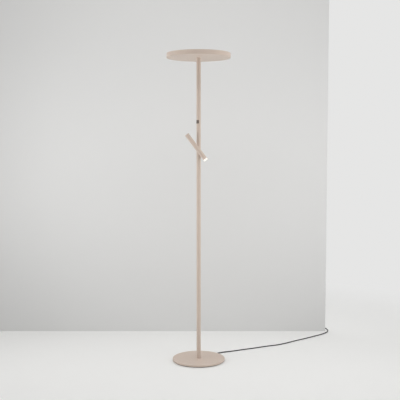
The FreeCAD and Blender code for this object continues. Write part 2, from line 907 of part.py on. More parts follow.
def coil_tie():
    """The strap round the turns of the coil, on the side where they lie square on each other."""
    lower, upper = coil_layer_heights()
    _, _, _, centre = coil_path()
    outer_turn = coil_radius - coil_pitch / 2
    inner_turn = outer_turn - coil_pitch * (coil_half_turns_down // 2 - 1)
    low = lower - cord_half_height - tie_gap
    high = upper + cord_half_height + tie_gap
    near = inner_turn - cord_radius - tie_side_gap
    far = outer_turn + cord_radius + tie_side_gap
    inside = Part.makeBox(far - near, tie_width, high - low, V(near, -tie_width / 2, low))
    outside = Part.makeBox(far - near + 2 * tie_wall, tie_width, high - low + 2 * tie_wall,
                           V(near - tie_wall, -tie_width / 2, low - tie_wall))
    inside = inside.makeChamfer(tie_corner - tie_wall, long_edges(inside))
    outside = outside.makeChamfer(tie_corner, long_edges(outside))
    strap = outside.cut(inside)
    side = coil_first_heading - 180.0
    return strap.rotated(V(0, 0, 0), Z_AXIS, side).translated(V(centre.x, centre.y, 0))


def long_edges(box):
    """The edges of the tie's block that run along the cord."""
    return [edge for edge in box.Edges if abs(edge.BoundBox.YLength - tie_width) < 0.001]


def tail_points():
    """The route from the coil down to the plug on the floor beside it."""
    _, start, tangent, _ = coil_path()
    level = start + tangent * tail_level_run
    down = level + tangent * tail_drop_run
    down.z = plug_thickness / 2
    return [start, level, down, down + tangent * tail_last_run], tangent


def cord_tail():
    """The short stretch of cord from the coil to the plug."""
    points, _ = tail_points()
    path, radii = rounded_route(points)
    tube = tube_along(path, cord_radius)
    report_tube("cord_tail", tube, path, cord_radius, radii)
    return tube


def place_plug(shape):
    """Carry a piece that points along +X to the end of the cord."""
    points, _ = tail_points()
    return shape.rotated(V(0, 0, 0), Z_AXIS, coil_first_heading).translated(points[-1])


def plug_outline():
    """The flat outline of the plug's body, seen from above: neck, shoulders and straight front."""
    neck = plug_neck_width / 2
    half = plug_width / 2
    start = boot_length
    shoulder = start + plug_neck_length
    front = shoulder + plug_shoulder_length
    end = front + plug_front_length
    return [V(start, -neck, 0), V(shoulder, -neck, 0), V(front, -half, 0), V(end, -half, 0),
            V(end, half, 0), V(front, half, 0), V(shoulder, neck, 0), V(start, neck, 0)], end


def mains_plug():
    """The flat two-pin plug with its tapered six-sided boot."""
    outline, front = plug_outline()
    body = flat_face(outline).translated(V(0, 0, -plug_thickness / 2)).extrude(V(0, 0, plug_thickness))
    level = [edge for edge in body.Edges if edge.BoundBox.ZLength < 0.001]
    body = body.makeChamfer(plug_chamfer, level)
    body = body.fuse(six_sided_taper(boot_small_radius, boot_big_radius, 0, boot_length, 0))
    for side in (1, -1):
        body = body.cut(plug_pin(side, front, seat_gap))
    return place_plug(body)


def plug_pin(side, front, extra=0.0):
    """One pin of the plug, along +X."""
    start = V(front - plug_pin_seat - extra, side * plug_pin_spacing / 2, 0)
    return Part.makeCylinder(plug_pin_radius + extra, plug_pin_seat + plug_pin_length, start, V(1, 0, 0))


def plug_pins():
    """The two pins of the plug."""
    _, front = plug_outline()
    return place_plug(Part.makeCompound([plug_pin(side, front) for side in (1, -1)]))


# ---- Every piece, in the order of assembly ---------------------------------------------------

os.makedirs("parts", exist_ok=True)

save(base_pad(), "base_pad")
save(base_plate(), "base_plate")
save(cord_relief(), "cord_relief")
save(pole_plugs(), "pole_plugs")
save(pole_tube(0), "pole_lower")
save(pole_couplers(), "pole_couplers")
save(pole_tube(1), "pole_middle")
save(pole_tube(2), "pole_upper")

save(head_pan(), "head_pan")
save(hub_plate(), "hub_plate")
save(head_nut(), "head_nut")
save(driver(), "driver")
save(standoffs(), "standoffs")
save(diffuser_posts(), "diffuser_posts")
save(carrier_plate(), "carrier_plate")
save(led_boards(), "led_boards")
save(diffuser(), "diffuser")

save(control_board(), "control_board")
save(control_switches(), "control_switches")
save(control_window(), "control_window")
save(key(True), "uplight_key")
save(plunger(True), "uplight_plunger")
save(key(False), "reading_key")
save(plunger(False), "reading_plunger")

save(pole_saddle(), "pole_saddle")
save(pivot_inner_saddle(), "pivot_inner_saddle")
save(lamp_saddle(), "lamp_saddle")
save(pivot_stud(), "pivot_stud")
save(pivot_nut(), "pivot_nut")
save(pivot_block(), "pivot_block")
save(reading_tube(), "reading_tube")
save(reading_cap(), "reading_cap")
save(reading_heatsink(), "reading_heatsink")
save(reading_led(), "reading_led")
save(reading_lens(), "reading_lens")

save(supply_lead(), "supply_lead")
save(cord_tube(), "cord_tube")
save(cord_coil(), "cord_coil")
save(coil_tie(), "coil_tie")
save(cord_tail(), "cord_tail")
save(mains_plug(), "mains_plug")
save(plug_pins(), "plug_pins")
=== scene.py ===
"""A torchiere floor lamp with a reading light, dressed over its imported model.

The pieces follow the lamp as it is put together: foot, pole, head, control window, reading light and
mains cord.  The floor, the backdrop, the studio lamps and the camera come last.
"""
import json
import math

import bpy
import numpy as np
from mathutils import Matrix, Vector


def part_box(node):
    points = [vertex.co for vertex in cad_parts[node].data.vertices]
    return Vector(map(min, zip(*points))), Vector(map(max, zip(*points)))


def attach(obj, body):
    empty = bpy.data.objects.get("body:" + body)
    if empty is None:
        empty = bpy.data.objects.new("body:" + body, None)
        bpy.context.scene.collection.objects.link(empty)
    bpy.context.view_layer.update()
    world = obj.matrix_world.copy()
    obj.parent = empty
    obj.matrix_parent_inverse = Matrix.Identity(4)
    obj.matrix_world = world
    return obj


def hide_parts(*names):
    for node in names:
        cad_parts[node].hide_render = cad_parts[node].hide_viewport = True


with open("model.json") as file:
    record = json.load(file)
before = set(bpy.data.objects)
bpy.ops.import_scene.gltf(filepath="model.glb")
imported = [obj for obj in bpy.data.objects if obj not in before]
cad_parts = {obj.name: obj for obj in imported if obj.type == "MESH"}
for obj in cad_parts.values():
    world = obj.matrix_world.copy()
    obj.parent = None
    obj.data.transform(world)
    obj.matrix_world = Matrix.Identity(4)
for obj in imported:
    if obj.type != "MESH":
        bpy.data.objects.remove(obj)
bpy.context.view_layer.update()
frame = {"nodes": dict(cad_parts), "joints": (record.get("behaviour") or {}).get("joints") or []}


# ---- Base plate ------------------------------------------------------------------------------
# The weight of the lamp is a steel disc, turned with a fine round on its upper rim.  Like the pole
# and the head it has a satin sand-beige powder coat, faintly clouded and finely stippled.

def rounded_outline(points, rounds, steps=7):
    """An outline of (radius, height) points with rounded corners.  At a corner with runs along u and
    v, at half their angle h, an arc of radius q starts at corner + u q / tan h, ends at
    corner + v q / tan h, and turns at an even rate between them.  A point on each run, close to the
    arc, keeps the flats flat."""
    points = np.asarray(points, float)
    outline = []
    for before, corner, after, q in zip(np.roll(points, 1, 0), points, np.roll(points, -1, 0), rounds):
        if q == 0:
            outline.append(corner[None])
            continue
        u = (before - corner) / np.linalg.norm(before - corner)
        v = (after - corner) / np.linalg.norm(after - corner)
        h = np.arccos(u @ v) / 2
        centre = corner + (u + v) / np.linalg.norm(u + v) * q / np.sin(h)
        start = corner + u * q / np.tan(h)
        end = corner + v * q / np.tan(h)
        turn = np.pi - 2 * h
        margin = 0.3 * q
        share = np.linspace(0, 1, steps)[:, None]
        arc = centre + (np.sin((1 - share) * turn) * (start - centre)
                        + np.sin(share * turn) * (end - centre)) / np.sin(turn)
        outline.append(np.vstack([start + margin * u, arc, end + margin * v]))
    return np.vstack(outline)


def skinned(name, grid, closed, place=Matrix.Identity(4), edge_angle=math.radians(35)):
    """A closed surface through a grid of points, by turn and then by step along the form.  A form
    that doesn't close on itself gets a middle point at each end.  It is smooth but for its edges,
    where it bends by more than the edge angle."""
    turns, steps = grid.shape[:2]
    i = np.arange(turns)[:, None]
    j = np.arange(steps if closed else steps - 1)[None, :]
    across = (i + 1) % turns
    onward = (j + 1) % steps
    corners = (i * steps + j, across * steps + j, across * steps + onward, i * steps + onward)
    faces = np.stack(np.broadcast_arrays(*corners), axis=-1).reshape(-1, 4).tolist()
    vertices = grid.reshape(-1, 3)
    if not closed:
        a = np.arange(turns)
        b = (a + 1) % turns
        middle = np.full(turns, turns * steps)
        faces += np.stack([middle, b * steps, a * steps], axis=1).tolist()
        faces += np.stack([a * steps + steps - 1, b * steps + steps - 1, middle + 1], axis=1).tolist()
        vertices = np.vstack([vertices, grid[:, 0].mean(0), grid[:, -1].mean(0)])
    vertices = vertices @ np.array(place.to_3x3()).T + np.array(place.translation)
    mesh = bpy.data.meshes.new(name)
    mesh.from_pydata(vertices.tolist(), [], faces)
    mesh.polygons.foreach_set("use_smooth", np.ones(len(faces), bool))
    mesh.set_sharp_from_angle(angle=edge_angle)
    mesh.update()
    piece = bpy.data.objects.new(name, mesh)
    bpy.context.scene.collection.objects.link(piece)
    return piece


def turned(name, outline, closed, turns=160, place=Matrix.Identity(4)):
    """A surface turned about the upright axis: the outline's point (r, z) goes round the circle
    (r cos t, r sin t, z).  A closed outline makes a ring."""
    t = np.linspace(0, 2 * np.pi, turns, endpoint=False)[:, None]
    r, z = outline[:, 0], outline[:, 1]
    grid = np.stack(np.broadcast_arrays(r * np.cos(t), r * np.sin(t), z), axis=-1)
    return skinned(name, grid, closed, place)


def new_finish(name):
    """An empty material with its Principled shader and its object coordinates."""
    finish = bpy.data.materials.new(name)
    finish.use_nodes = True
    nodes = finish.node_tree.nodes
    shader = nodes["Principled BSDF"]
    place = nodes.new("ShaderNodeTexCoord")
    return finish, finish.node_tree, shader, place.outputs["Object"]


def feed(tree, value, socket):
    """Join an output to a socket, or set the socket to a value."""
    if isinstance(value, bpy.types.NodeSocket):
        tree.links.new(value, socket)
    else:
        socket.default_value = value


def wired(tree, kind, settings=(), **inputs):
    """A node with its settings, and its named inputs fed."""
    node = tree.nodes.new(kind)
    for key, value in settings:
        setattr(node, key, value)
    for key, value in inputs.items():
        feed(tree, value, node.inputs[key.replace("_", " ")])
    return node


def worked(tree, operation, *values):
    """The result of a calculation: SUBTRACT is a - b, MULTIPLY is a b, MAXIMUM is the larger
    of a and b, and MULTIPLY_ADD is a b + c."""
    node = wired(tree, "ShaderNodeMath", [("operation", operation)])
    for value, socket in zip(values, node.inputs):
        feed(tree, value, socket)
    return node.outputs[0]


def scaled(tree, colour, factor):
    """A colour times a factor."""
    node = wired(tree, "ShaderNodeVectorMath", [("operation", "SCALE")], Scale=factor)
    feed(tree, colour, node.inputs[0])
    return node.outputs[0]


def new_group(name, inputs, outputs):
    """A shader node group with the named inputs and outputs, and its two end nodes."""
    group = bpy.data.node_groups.new(name, "ShaderNodeTree")
    for label, kind in inputs:
        group.interface.new_socket(name=label, in_out="INPUT", socket_type=kind)
    for label, kind in outputs:
        group.interface.new_socket(name=label, in_out="OUTPUT", socket_type=kind)
    return group, group.nodes.new("NodeGroupInput"), group.nodes.new("NodeGroupOutput")


def mottled_group(roughness_swing):
    """Slow clouding of a colour and fine grain: Color = colour x (1 + clouding (n1 - 1/2) + grain
    (n2 - 1/2)), with n1 a slow noise and n2 a fine one; Height is n2; Roughness = roughness +
    roughness swing (n1 - 1/2)."""
    group, given, out = new_group(
        "mottled",
        [("Vector", "NodeSocketVector"), ("Colour", "NodeSocketColor"), ("Fineness", "NodeSocketFloat"),
         ("Clouding", "NodeSocketFloat"), ("Grain", "NodeSocketFloat"), ("Roughness", "NodeSocketFloat")],
        [("Color", "NodeSocketColor"), ("Roughness", "NodeSocketFloat"), ("Height", "NodeSocketFloat")])
    slow = wired(group, "ShaderNodeTexNoise", Vector=given.outputs["Vector"], Scale=7.0, Detail=3.0)
    fine = wired(group, "ShaderNodeTexNoise", Vector=given.outputs["Vector"],
                 Scale=given.outputs["Fineness"], Detail=4.0, Roughness=0.6)
    slow_part = worked(group, "SUBTRACT", slow.outputs["Fac"], 0.5)
    fine_part = worked(group, "SUBTRACT", fine.outputs["Fac"], 0.5)
    clouds = worked(group, "MULTIPLY_ADD", slow_part, given.outputs["Clouding"], 1.0)
    shade = worked(group, "MULTIPLY_ADD", fine_part, given.outputs["Grain"], clouds)
    rough = worked(group, "MULTIPLY_ADD", slow_part, roughness_swing, given.outputs["Roughness"])
    group.links.new(scaled(group, given.outputs["Colour"], shade), out.inputs["Color"])
    group.links.new(rough, out.inputs["Roughness"])
    group.links.new(fine.outputs["Fac"], out.inputs["Height"])
    return group


mottled = mottled_group(roughness_swing=0.18)


def grained_finish(name, colour, fineness, clouding, grain, roughness, bump, metallic=0.0, coat=0.0,
                   specular=0.5):
    """A finish with fine grain: its colour clouded and grained, its roughness uneven and its surface
    raised by the grain.  bump is the height of the grain in metres."""
    finish, tree, shader, place = new_finish(name)
    grains = tree.nodes.new("ShaderNodeGroup")
    grains.node_tree = mottled
    tree.links.new(place, grains.inputs["Vector"])
    grains.inputs["Colour"].default_value = (*colour, 1.0)
    grains.inputs["Fineness"].default_value = fineness
    grains.inputs["Clouding"].default_value = clouding
    grains.inputs["Grain"].default_value = grain
    grains.inputs["Roughness"].default_value = roughness
    relief = wired(tree, "ShaderNodeBump", Height=grains.outputs["Height"], Distance=bump, Strength=0.6)
    tree.links.new(grains.outputs["Color"], shader.inputs["Base Color"])
    tree.links.new(grains.outputs["Roughness"], shader.inputs["Roughness"])
    tree.links.new(relief.outputs["Normal"], shader.inputs["Normal"])
    shader.inputs["Metallic"].default_value = metallic
    shader.inputs["Coat Weight"].default_value = coat
    shader.inputs["Coat Roughness"].default_value = 0.3
    shader.inputs["Specular IOR Level"].default_value = specular
    return finish


def dress(node, finish):
    """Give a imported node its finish."""
    packed = frame["nodes"][node]
    packed.data.materials.clear()
    packed.data.materials.append(finish)


def fit(piece, finish, body, slot, *nodes):
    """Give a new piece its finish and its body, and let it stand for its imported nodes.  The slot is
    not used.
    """
    piece.data.materials.append(finish)
    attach(piece, body)
    if nodes:
        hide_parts(*nodes)


sand = (0.582, 0.479, 0.409)
sand_coat = grained_finish("sand_powder_coat", sand, fineness=1100.0, clouding=0.10, grain=0.30,
                           roughness=0.42, bump=0.0004, coat=0.05)

base_low, base_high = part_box("base_plate")
base_radius = base_high.x
rim_round = 0.0014
foot_round = 0.0006
base_outline = rounded_outline(
    [(0.0, base_low.z), (base_radius, base_low.z), (base_radius, base_high.z), (0.0, base_high.z)],
    [0, foot_round, rim_round, 0])[1:-1]
base_disc = turned("base_disc", base_outline, False, turns=224)
fit(base_disc, sand_coat, "lamp_stand", "sand_paint", "base_plate")


# ---- Base pad --------------------------------------------------------------------------------
# A disc of closed-cell foam is glued under the plate, a little smaller than it, and shows as the
# dark line on which the lamp stands.

black_foam = grained_finish("black_foam", (0.010, 0.010, 0.010), fineness=1400.0, clouding=0.2,
                            grain=0.6, roughness=0.85, bump=0.0002, specular=0.1)
dress("base_pad", black_foam)


# ---- Strain relief ---------------------------------------------------------------------------
# The cord leaves the rim at the back through a tapered rubber bush with moulded ribs, held by the
# flange at its inner end.

exit_turn = math.radians(48.0)
relief_inner = 0.140
relief_outer = 0.174
relief_height = 0.005
flange_thickness = 0.0026
flange_radius = 0.0046
neck_radius = 0.0041
neck_taper = 0.0008
rib_waves = 10
rib_depth = 0.0004
ribs_start = 0.016
ribs_rise = 0.002
ribs_end = 0.0325
ribs_fall = 0.001
relief_rings = 121

# The radius is neck - taper s - d w(x) (1 - cos(2 pi n s)) / 2 at the share s of the length, with d
# the depth of the n waves, and w rising from 0 to 1 where the ribs start and falling where they end.
relief_steps = np.linspace(0, relief_outer - relief_inner, relief_rings)
relief_share = relief_steps / relief_steps[-1]
ribbed = (np.clip((relief_steps - ribs_start) / ribs_rise, 0, 1)
          * np.clip((ribs_end - relief_steps) / ribs_fall, 0, 1))
relief_radius = (neck_radius - neck_taper * relief_share
                 - rib_depth * ribbed * (0.5 - 0.5 * np.cos(2 * np.pi * rib_waves * relief_share)))
relief_radius = np.where(relief_steps < flange_thickness, flange_radius, relief_radius)
relief_place = (Matrix.Rotation(exit_turn, 4, "Z")
                @ Matrix.Translation((relief_inner, 0, relief_height))
                @ Matrix.Rotation(math.pi / 2, 4, "Y"))
black_rubber = grained_finish("black_rubber", (0.012, 0.012, 0.013), fineness=2200.0, clouding=0.15,
                              grain=0.2, roughness=0.62, bump=0.00003, specular=0.25)
relief_bush = turned("relief_bush", np.column_stack([relief_radius, relief_steps]), False, turns=64,
                     place=relief_place)
fit(relief_bush, black_rubber, "lamp_stand", "black_rubber", "cord_relief")


# ---- Plugs and sleeves inside the pole -------------------------------------------------------
# The turned plugs in the ends of the pole and the sleeves in its two joints are zinc-plated steel.
# They hold the lamp together and are out of sight once it is built.

zinc = grained_finish("zinc_plated_steel", (0.58, 0.58, 0.56), fineness=600.0, clouding=0.25, grain=0.12,
                      roughness=0.34, bump=0.00002, metallic=1.0)
dress("pole_plugs", zinc)
dress("pole_couplers", zinc)


# ---- Pole ------------------------------------------------------------------------------------
# Three lengths of 25 mm steel tube stand on each other.  The lower edge of the middle one is finely
# broken, so that the joint shows as a thin ring.  The upper one has the openings.

tube_wall = 0.0015
broken_edge = 0.0004
for node, lower_edge in (("pole_lower", 0), ("pole_middle", broken_edge)):
    tube_low, tube_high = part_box(node)
    tube_outline = rounded_outline(
        [(tube_high.x, tube_low.z), (tube_high.x, tube_high.z), (tube_high.x - tube_wall, tube_high.z),
         (tube_high.x - tube_wall, tube_low.z)],
        [lower_edge, 0, 0, 0], steps=4)
    tube = turned(node + "_tube", tube_outline, True, turns=96)
    fit(tube, sand_coat, "lamp_stand", "sand_paint", node)
dress("pole_upper", sand_coat)


# ---- Uplight head ----------------------------------------------------------------------------
# The head is a flat pan, pressed from one sheet with a small round under its rim and a folded lip
# above.  A stiffening plate and a nut in its middle clamp it to the pole.

pan_low, pan_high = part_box("head_pan")
pan_wall = 0.0015
pan_round = 0.0019
lip_round = 0.0006
crease_round = 0.0004
stud_hole = 0.0061
pan_outline = rounded_outline(
    [(stud_hole, pan_low.z), (pan_high.x, pan_low.z), (pan_high.x, pan_high.z),
     (pan_high.x - pan_wall, pan_high.z), (pan_high.x - pan_wall, pan_low.z + pan_wall),
     (stud_hole, pan_low.z + pan_wall)],
    [0, pan_round, lip_round, lip_round, crease_round, 0])
head_shell = turned("head_shell", pan_outline, True, turns=256)
fit(head_shell, sand_coat, "lamp_stand", "sand_paint", "head_pan")
dress("hub_plate", zinc)
dress("head_nut", zinc)


# ---- Light unit of the head ------------------------------------------------------------------
# Bare aluminium posts carry a plate with five boards of warm white chips, fed by a flat driver in a
# white plastic case.  An opal disc on taller posts closes the head and spreads the light.

aluminium = grained_finish("bare_aluminium", (0.74, 0.75, 0.76), fineness=420.0, clouding=0.12,
                           grain=0.1, roughness=0.38, bump=0.00002, metallic=1.0)
for node in ("standoffs", "diffuser_posts", "carrier_plate"):
    dress(node, aluminium)
case_white = grained_finish("white_case", (0.80, 0.80, 0.78), fineness=1200.0, clouding=0.04, grain=0.05,
                            roughness=0.5, bump=0.00003)
dress("driver", case_white)
board_white = grained_finish("led_board_white", (0.84, 0.82, 0.66), fineness=1500.0, clouding=0.08,
                             grain=0.05, roughness=0.45, bump=0.00002)
dress("led_boards", board_white)


def distance(tree, place, middle):
    """The distance of a place from a middle, the length of the vector between them."""
    away = wired(tree, "ShaderNodeVectorMath", [("operation", "DISTANCE")])
    feed(tree, place, away.inputs[0])
    feed(tree, middle, away.inputs[1])
    return away.outputs["Value"]


def opal_finish(name, colour, glow, strength, middle, reach, fade):
    """Opal acrylic that is lit from within.  The glow is brightest about its middle, and at the
    distance reach from it the glow has fallen smoothly by the share fade."""
    finish, tree, shader, place = new_finish(name)
    level = wired(tree, "ShaderNodeMapRange", [("interpolation_type", "SMOOTHSTEP")],
                  Value=distance(tree, place, middle), From_Max=reach, To_Min=1.0, To_Max=1.0 - fade)
    frosting = wired(tree, "ShaderNodeTexNoise", Vector=place, Scale=2600.0, Detail=2.0)
    frosted = wired(tree, "ShaderNodeBump", Height=frosting.outputs["Fac"], Distance=0.00002)
    tree.links.new(scaled(tree, glow, level.outputs["Result"]), shader.inputs["Emission Color"])
    tree.links.new(frosted.outputs["Normal"], shader.inputs["Normal"])
    shader.inputs["Base Color"].default_value = (*colour, 1.0)
    shader.inputs["Roughness"].default_value = 0.48
    shader.inputs["Emission Strength"].default_value = strength
    return finish


opal_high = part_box("diffuser")[1]
head_opal = opal_finish("head_opal", (0.60, 0.585, 0.55), (1.0, 0.93, 0.82), strength=0.38,
                        middle=(0, 0, opal_high.z), reach=opal_high.x, fade=0.30)
dress("diffuser", head_opal)


# ---- Control window --------------------------------------------------------------------------
# A dark satin window follows the round of the pole at the front left.  Its two push keys stand on
# the switches of a small circuit board, held by the snap legs of the window.

window_dark = grained_finish("dark_window", (0.120, 0.096, 0.080), fineness=2600.0, clouding=0.05,
                             grain=0.1, roughness=0.36, bump=0.000015, specular=0.35)
key_dark = grained_finish("dark_keys", (0.160, 0.130, 0.110), fineness=2600.0, clouding=0.05, grain=0.1,
                          roughness=0.42, bump=0.000015, specular=0.35)
board_green = grained_finish("circuit_board_green", (0.02, 0.10, 0.045), fineness=900.0, clouding=0.2,
                             grain=0.15, roughness=0.4, bump=0.00002)
switch_black = grained_finish("switch_black", (0.02, 0.02, 0.02), fineness=1800.0, clouding=0.1,
                              grain=0.1, roughness=0.5, bump=0.00002)
dress("control_window", window_dark)
dress("uplight_key", key_dark)
dress("reading_key", key_dark)
dress("control_board", board_green)
for node in ("control_switches", "uplight_plunger", "reading_plunger"):
    dress(node, switch_black)


# ---- Friction pivot --------------------------------------------------------------------------
# Two black saddles, hollowed to the pole and to the reading light, turn face to face on a hollow
# steel stud, with a third saddle and a lock nut inside the pole.

saddle_black = grained_finish("saddle_black", (0.022, 0.021, 0.020), fineness=1500.0, clouding=0.1,
                              grain=0.15, roughness=0.5, bump=0.00004)
for node in ("pole_saddle", "lamp_saddle", "pivot_inner_saddle"):
    dress(node, saddle_black)
dress("pivot_stud", zinc)
dress("pivot_nut", zinc)


# ---- Reading light ---------------------------------------------------------------------------
# A short tube with the same coat leans across the pole.  A turned cap closes its upper end, and an
# opal lens as wide as the tube glows at the lower one, each behind a fine groove.

tilt_joint = next(joint for joint in frame["joints"] if joint["name"] == "reading_tilt")
tube_low, tube_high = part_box("reading_tube")
reading_tilt = math.radians(37.0)
reading_place = (Matrix.Translation((0, (tube_low.y + tube_high.y) / 2, tilt_joint["pos_m"][2]))
                 @ Matrix.Rotation(-reading_tilt, 4, "Y"))
reading_radius = (tube_high.y - tube_low.y) / 2
lens_end = -0.0721
cap_end = 0.1143
lens_length = 0.0095
cap_length = 0.012
groove_width = 0.0012
end_round = 0.0012
small_round = 0.0003
barrel_wall = 0.0015
spigot_clearance = 0.00005
cap_spigot = 0.008
lens_spigot = 0.005
bore_radius = reading_radius - barrel_wall
tube_front = lens_end + lens_length + groove_width
tube_rear = cap_end - cap_length

reading_barrel = turned("reading_barrel", rounded_outline(
    [(reading_radius, tube_front), (reading_radius, tube_rear), (bore_radius, tube_rear),
     (bore_radius, tube_front)], [small_round, small_round, 0, 0], steps=4), True, turns=96,
    place=reading_place)
fit(reading_barrel, sand_coat, "reading_light", "sand_paint", "reading_tube")

spigot_radius = bore_radius - spigot_clearance
cap_step = tube_rear + groove_width
cap_outline = rounded_outline(
    [(0, tube_rear - cap_spigot), (spigot_radius, tube_rear - cap_spigot), (spigot_radius, cap_step),
     (reading_radius, cap_step), (reading_radius, cap_end), (0, cap_end)],
    [0, small_round, 0, small_round, end_round, 0])[1:-1]
end_cap = turned("reading_end_cap", cap_outline, False, turns=96, place=reading_place)
fit(end_cap, sand_coat, "reading_light", "sand_paint", "reading_cap")

lens_step = lens_end + lens_length
lens_outline = rounded_outline(
    [(0, lens_end), (reading_radius, lens_end), (reading_radius, lens_step), (spigot_radius, lens_step),
     (spigot_radius, tube_front + lens_spigot), (0, tube_front + lens_spigot)],
    [0, end_round, small_round, 0, small_round, 0])[1:-1]
reading_opal = opal_finish("reading_opal", (0.70, 0.685, 0.65), (1.0, 0.95, 0.87), strength=0.75,
                           middle=reading_place @ Vector((0, 0, lens_end)), reach=0.018, fade=0.45)
opal_lens = turned("opal_lens", lens_outline, False, turns=96, place=reading_place)
fit(opal_lens, reading_opal, "reading_light", "opal_glow_reading", "reading_lens")

dress("reading_heatsink", aluminium)
dress("pivot_block", aluminium)
dress("reading_led", board_white)


# ---- Supply lead -----------------------------------------------------------------------------
# A thin white lead goes from the strain relief under the plate to the foot, and up the middle of
# the pole to the driver.

lead_white = grained_finish("white_lead", (0.74, 0.74, 0.72), fineness=1500.0, clouding=0.05, grain=0.05,
                            roughness=0.5, bump=0.00002)
dress("supply_lead", lead_white)


# ---- Mains cord ------------------------------------------------------------------------------
# A black two-core cord of 6 mm lies on the floor from the back of the base to the right.  The rest
# of its 1.66 m is put away as a small coil, in on the floor and out again above, held by a strap.

cord_radius = 0.003
cord_bends = [
    (0.203, 0.179), (0.281, 0.219), (0.352, 0.252), (0.431, 0.295), (0.507, 0.325), (0.572, 0.375),
    (0.640, 0.434), (0.707, 0.486), (0.776, 0.543), (0.836, 0.597), (0.876, 0.646), (0.893, 0.700),
    (0.886, 0.756),
]
cord_first_run = 0.022
cord_last_run = 0.042
coil_start = (0.812, 0.810)
coil_heading = math.radians(165.0)
coil_radius = 0.038
coil_pitch = 0.0066
half_turns_in = 2
half_turns_out = 1
steps_per_half_turn = 8
strap_room = 0.0009
coil_low = cord_radius + strap_room
tail_level_run = 0.024
tail_drop_run = 0.028
tail_last_run = 0.022
plug_half_height = 0.0069

exit_direction = Vector((math.cos(exit_turn), math.sin(exit_turn), 0))
heading = Vector((math.cos(coil_heading), math.sin(coil_heading), 0))
cord_exit = exit_direction * relief_outer + Vector((0, 0, relief_height))
coil_entry = Vector((*coil_start, coil_low))
route = [cord_exit, cord_exit + exit_direction * cord_first_run]
route += [Vector((x, y, cord_radius)) for x, y in cord_bends]
route += [coil_entry - heading * cord_last_run, coil_entry]

# Each half turn of the coil is p + n R (1 - cos a) + t R sin a, for a from 0 to half a turn, with t
# the heading and n to its left.  R shrinks by half a pitch per half turn on the way in and grows
# again on the way out.  In the innermost half turn the cord climbs by one pitch.
point = coil_entry + heading * (2 * cord_radius)
inside_corner = math.cos(math.pi / (2 * steps_per_half_turn))
for k in range(half_turns_in + 1 + half_turns_out):
    left = Vector((-heading.y, heading.x, 0))
    depth = min(k, 2 * half_turns_in - k)
    turn_radius = coil_radius - depth * coil_pitch / 2
    climb = coil_pitch if k == half_turns_in else 0.0
    for a in (np.arange(steps_per_half_turn) + 0.5) * math.pi / steps_per_half_turn:
        reach = turn_radius / inside_corner
        step = left * (turn_radius - reach * math.cos(a)) + heading * (reach * math.sin(a))
        route.append(point + step + Vector((0, 0, climb * (0.5 - 0.5 * math.cos(a)))))
    point = point + left * (2 * turn_radius) + Vector((0, 0, climb))
    heading = -heading
point = point + heading * (2 * cord_radius)
route.append(point)
route.append(point + heading * tail_level_run)
plug_level = Vector((0, 0, plug_half_height - point.z))
route.append(point + heading * (tail_level_run + tail_drop_run) + plug_level)
cord_end = point + heading * (tail_level_run + tail_drop_run + tail_last_run) + plug_level
route.append(cord_end)

cord_line = bpy.data.curves.new("mains_cord", "CURVE")
cord_line.dimensions = "3D"
cord_line.resolution_u = 10
cord_line.bevel_depth = cord_radius
cord_line.bevel_resolution = 6
cord_line.use_fill_caps = True
spline = cord_line.splines.new("NURBS")
spline.points.add(len(route) - 1)
for control, place in zip(spline.points, route):
    control.co = (*place, 1.0)
spline.order_u = 3
spline.use_endpoint_u = True
mains_cord = bpy.data.objects.new("mains_cord", cord_line)
bpy.context.scene.collection.objects.link(mains_cord)
cord_black = grained_finish("cord_black", (0.010, 0.010, 0.011), fineness=1800.0, clouding=0.15,
                            grain=0.15, roughness=0.50, bump=0.00003, specular=0.2)
fit(mains_cord, cord_black, "lamp_stand", "black_cord", "cord_tube", "cord_coil", "cord_tail")


# ---- Strap of the coil -----------------------------------------------------------------------
# A short black strap goes round the turns of the coil on one side and holds them together.  It is
# cut from woven tape.

def woven_finish(name, colour, pitch):
    """A plain weave: the product of a sine wave along x + y + z and one along z, both finer with a
    smaller pitch.  It lifts each thread, and paints shade into the gaps and light onto the threads."""
    finish, tree, shader, place = new_finish(name)
    warp = wired(tree, "ShaderNodeTexWave", [("bands_direction", "DIAGONAL")], Vector=place,
                 Scale=1.0 / pitch)
    weft = wired(tree, "ShaderNodeTexWave", [("bands_direction", "Z")], Vector=place, Scale=1.0 / pitch)
    threads = worked(tree, "MULTIPLY", warp.outputs["Fac"], weft.outputs["Fac"])
    # Painted shade and light: the colour goes from 0.6 times in the gaps to 1.5 times on the threads.
    shade = wired(tree, "ShaderNodeMapRange", Value=threads, To_Min=0.6, To_Max=1.5)
    lift = wired(tree, "ShaderNodeBump", Height=threads, Distance=0.0001)
    tree.links.new(scaled(tree, colour, shade.outputs["Result"]), shader.inputs["Base Color"])
    tree.links.new(lift.outputs["Normal"], shader.inputs["Normal"])
    shader.inputs["Roughness"].default_value = 0.8
    return finish


strap_weave = woven_finish("strap_weave", (0.02, 0.02, 0.02), pitch=0.0012)
dress("coil_tie", strap_weave)


# ---- Mains plug ------------------------------------------------------------------------------
# The flat two-pin plug is moulded on the cord, with soft shoulders and a ribbed boot.  Its pins are
# nickel-plated brass.

boot_ribs_end = 0.0165
boot_rib_height = 0.0004
boot_rib_pitch = 0.0033
boot_end = 0.018
shoulder_end = 0.031
body_squareness = 0.45
section_points = 64
plug_rings = 109

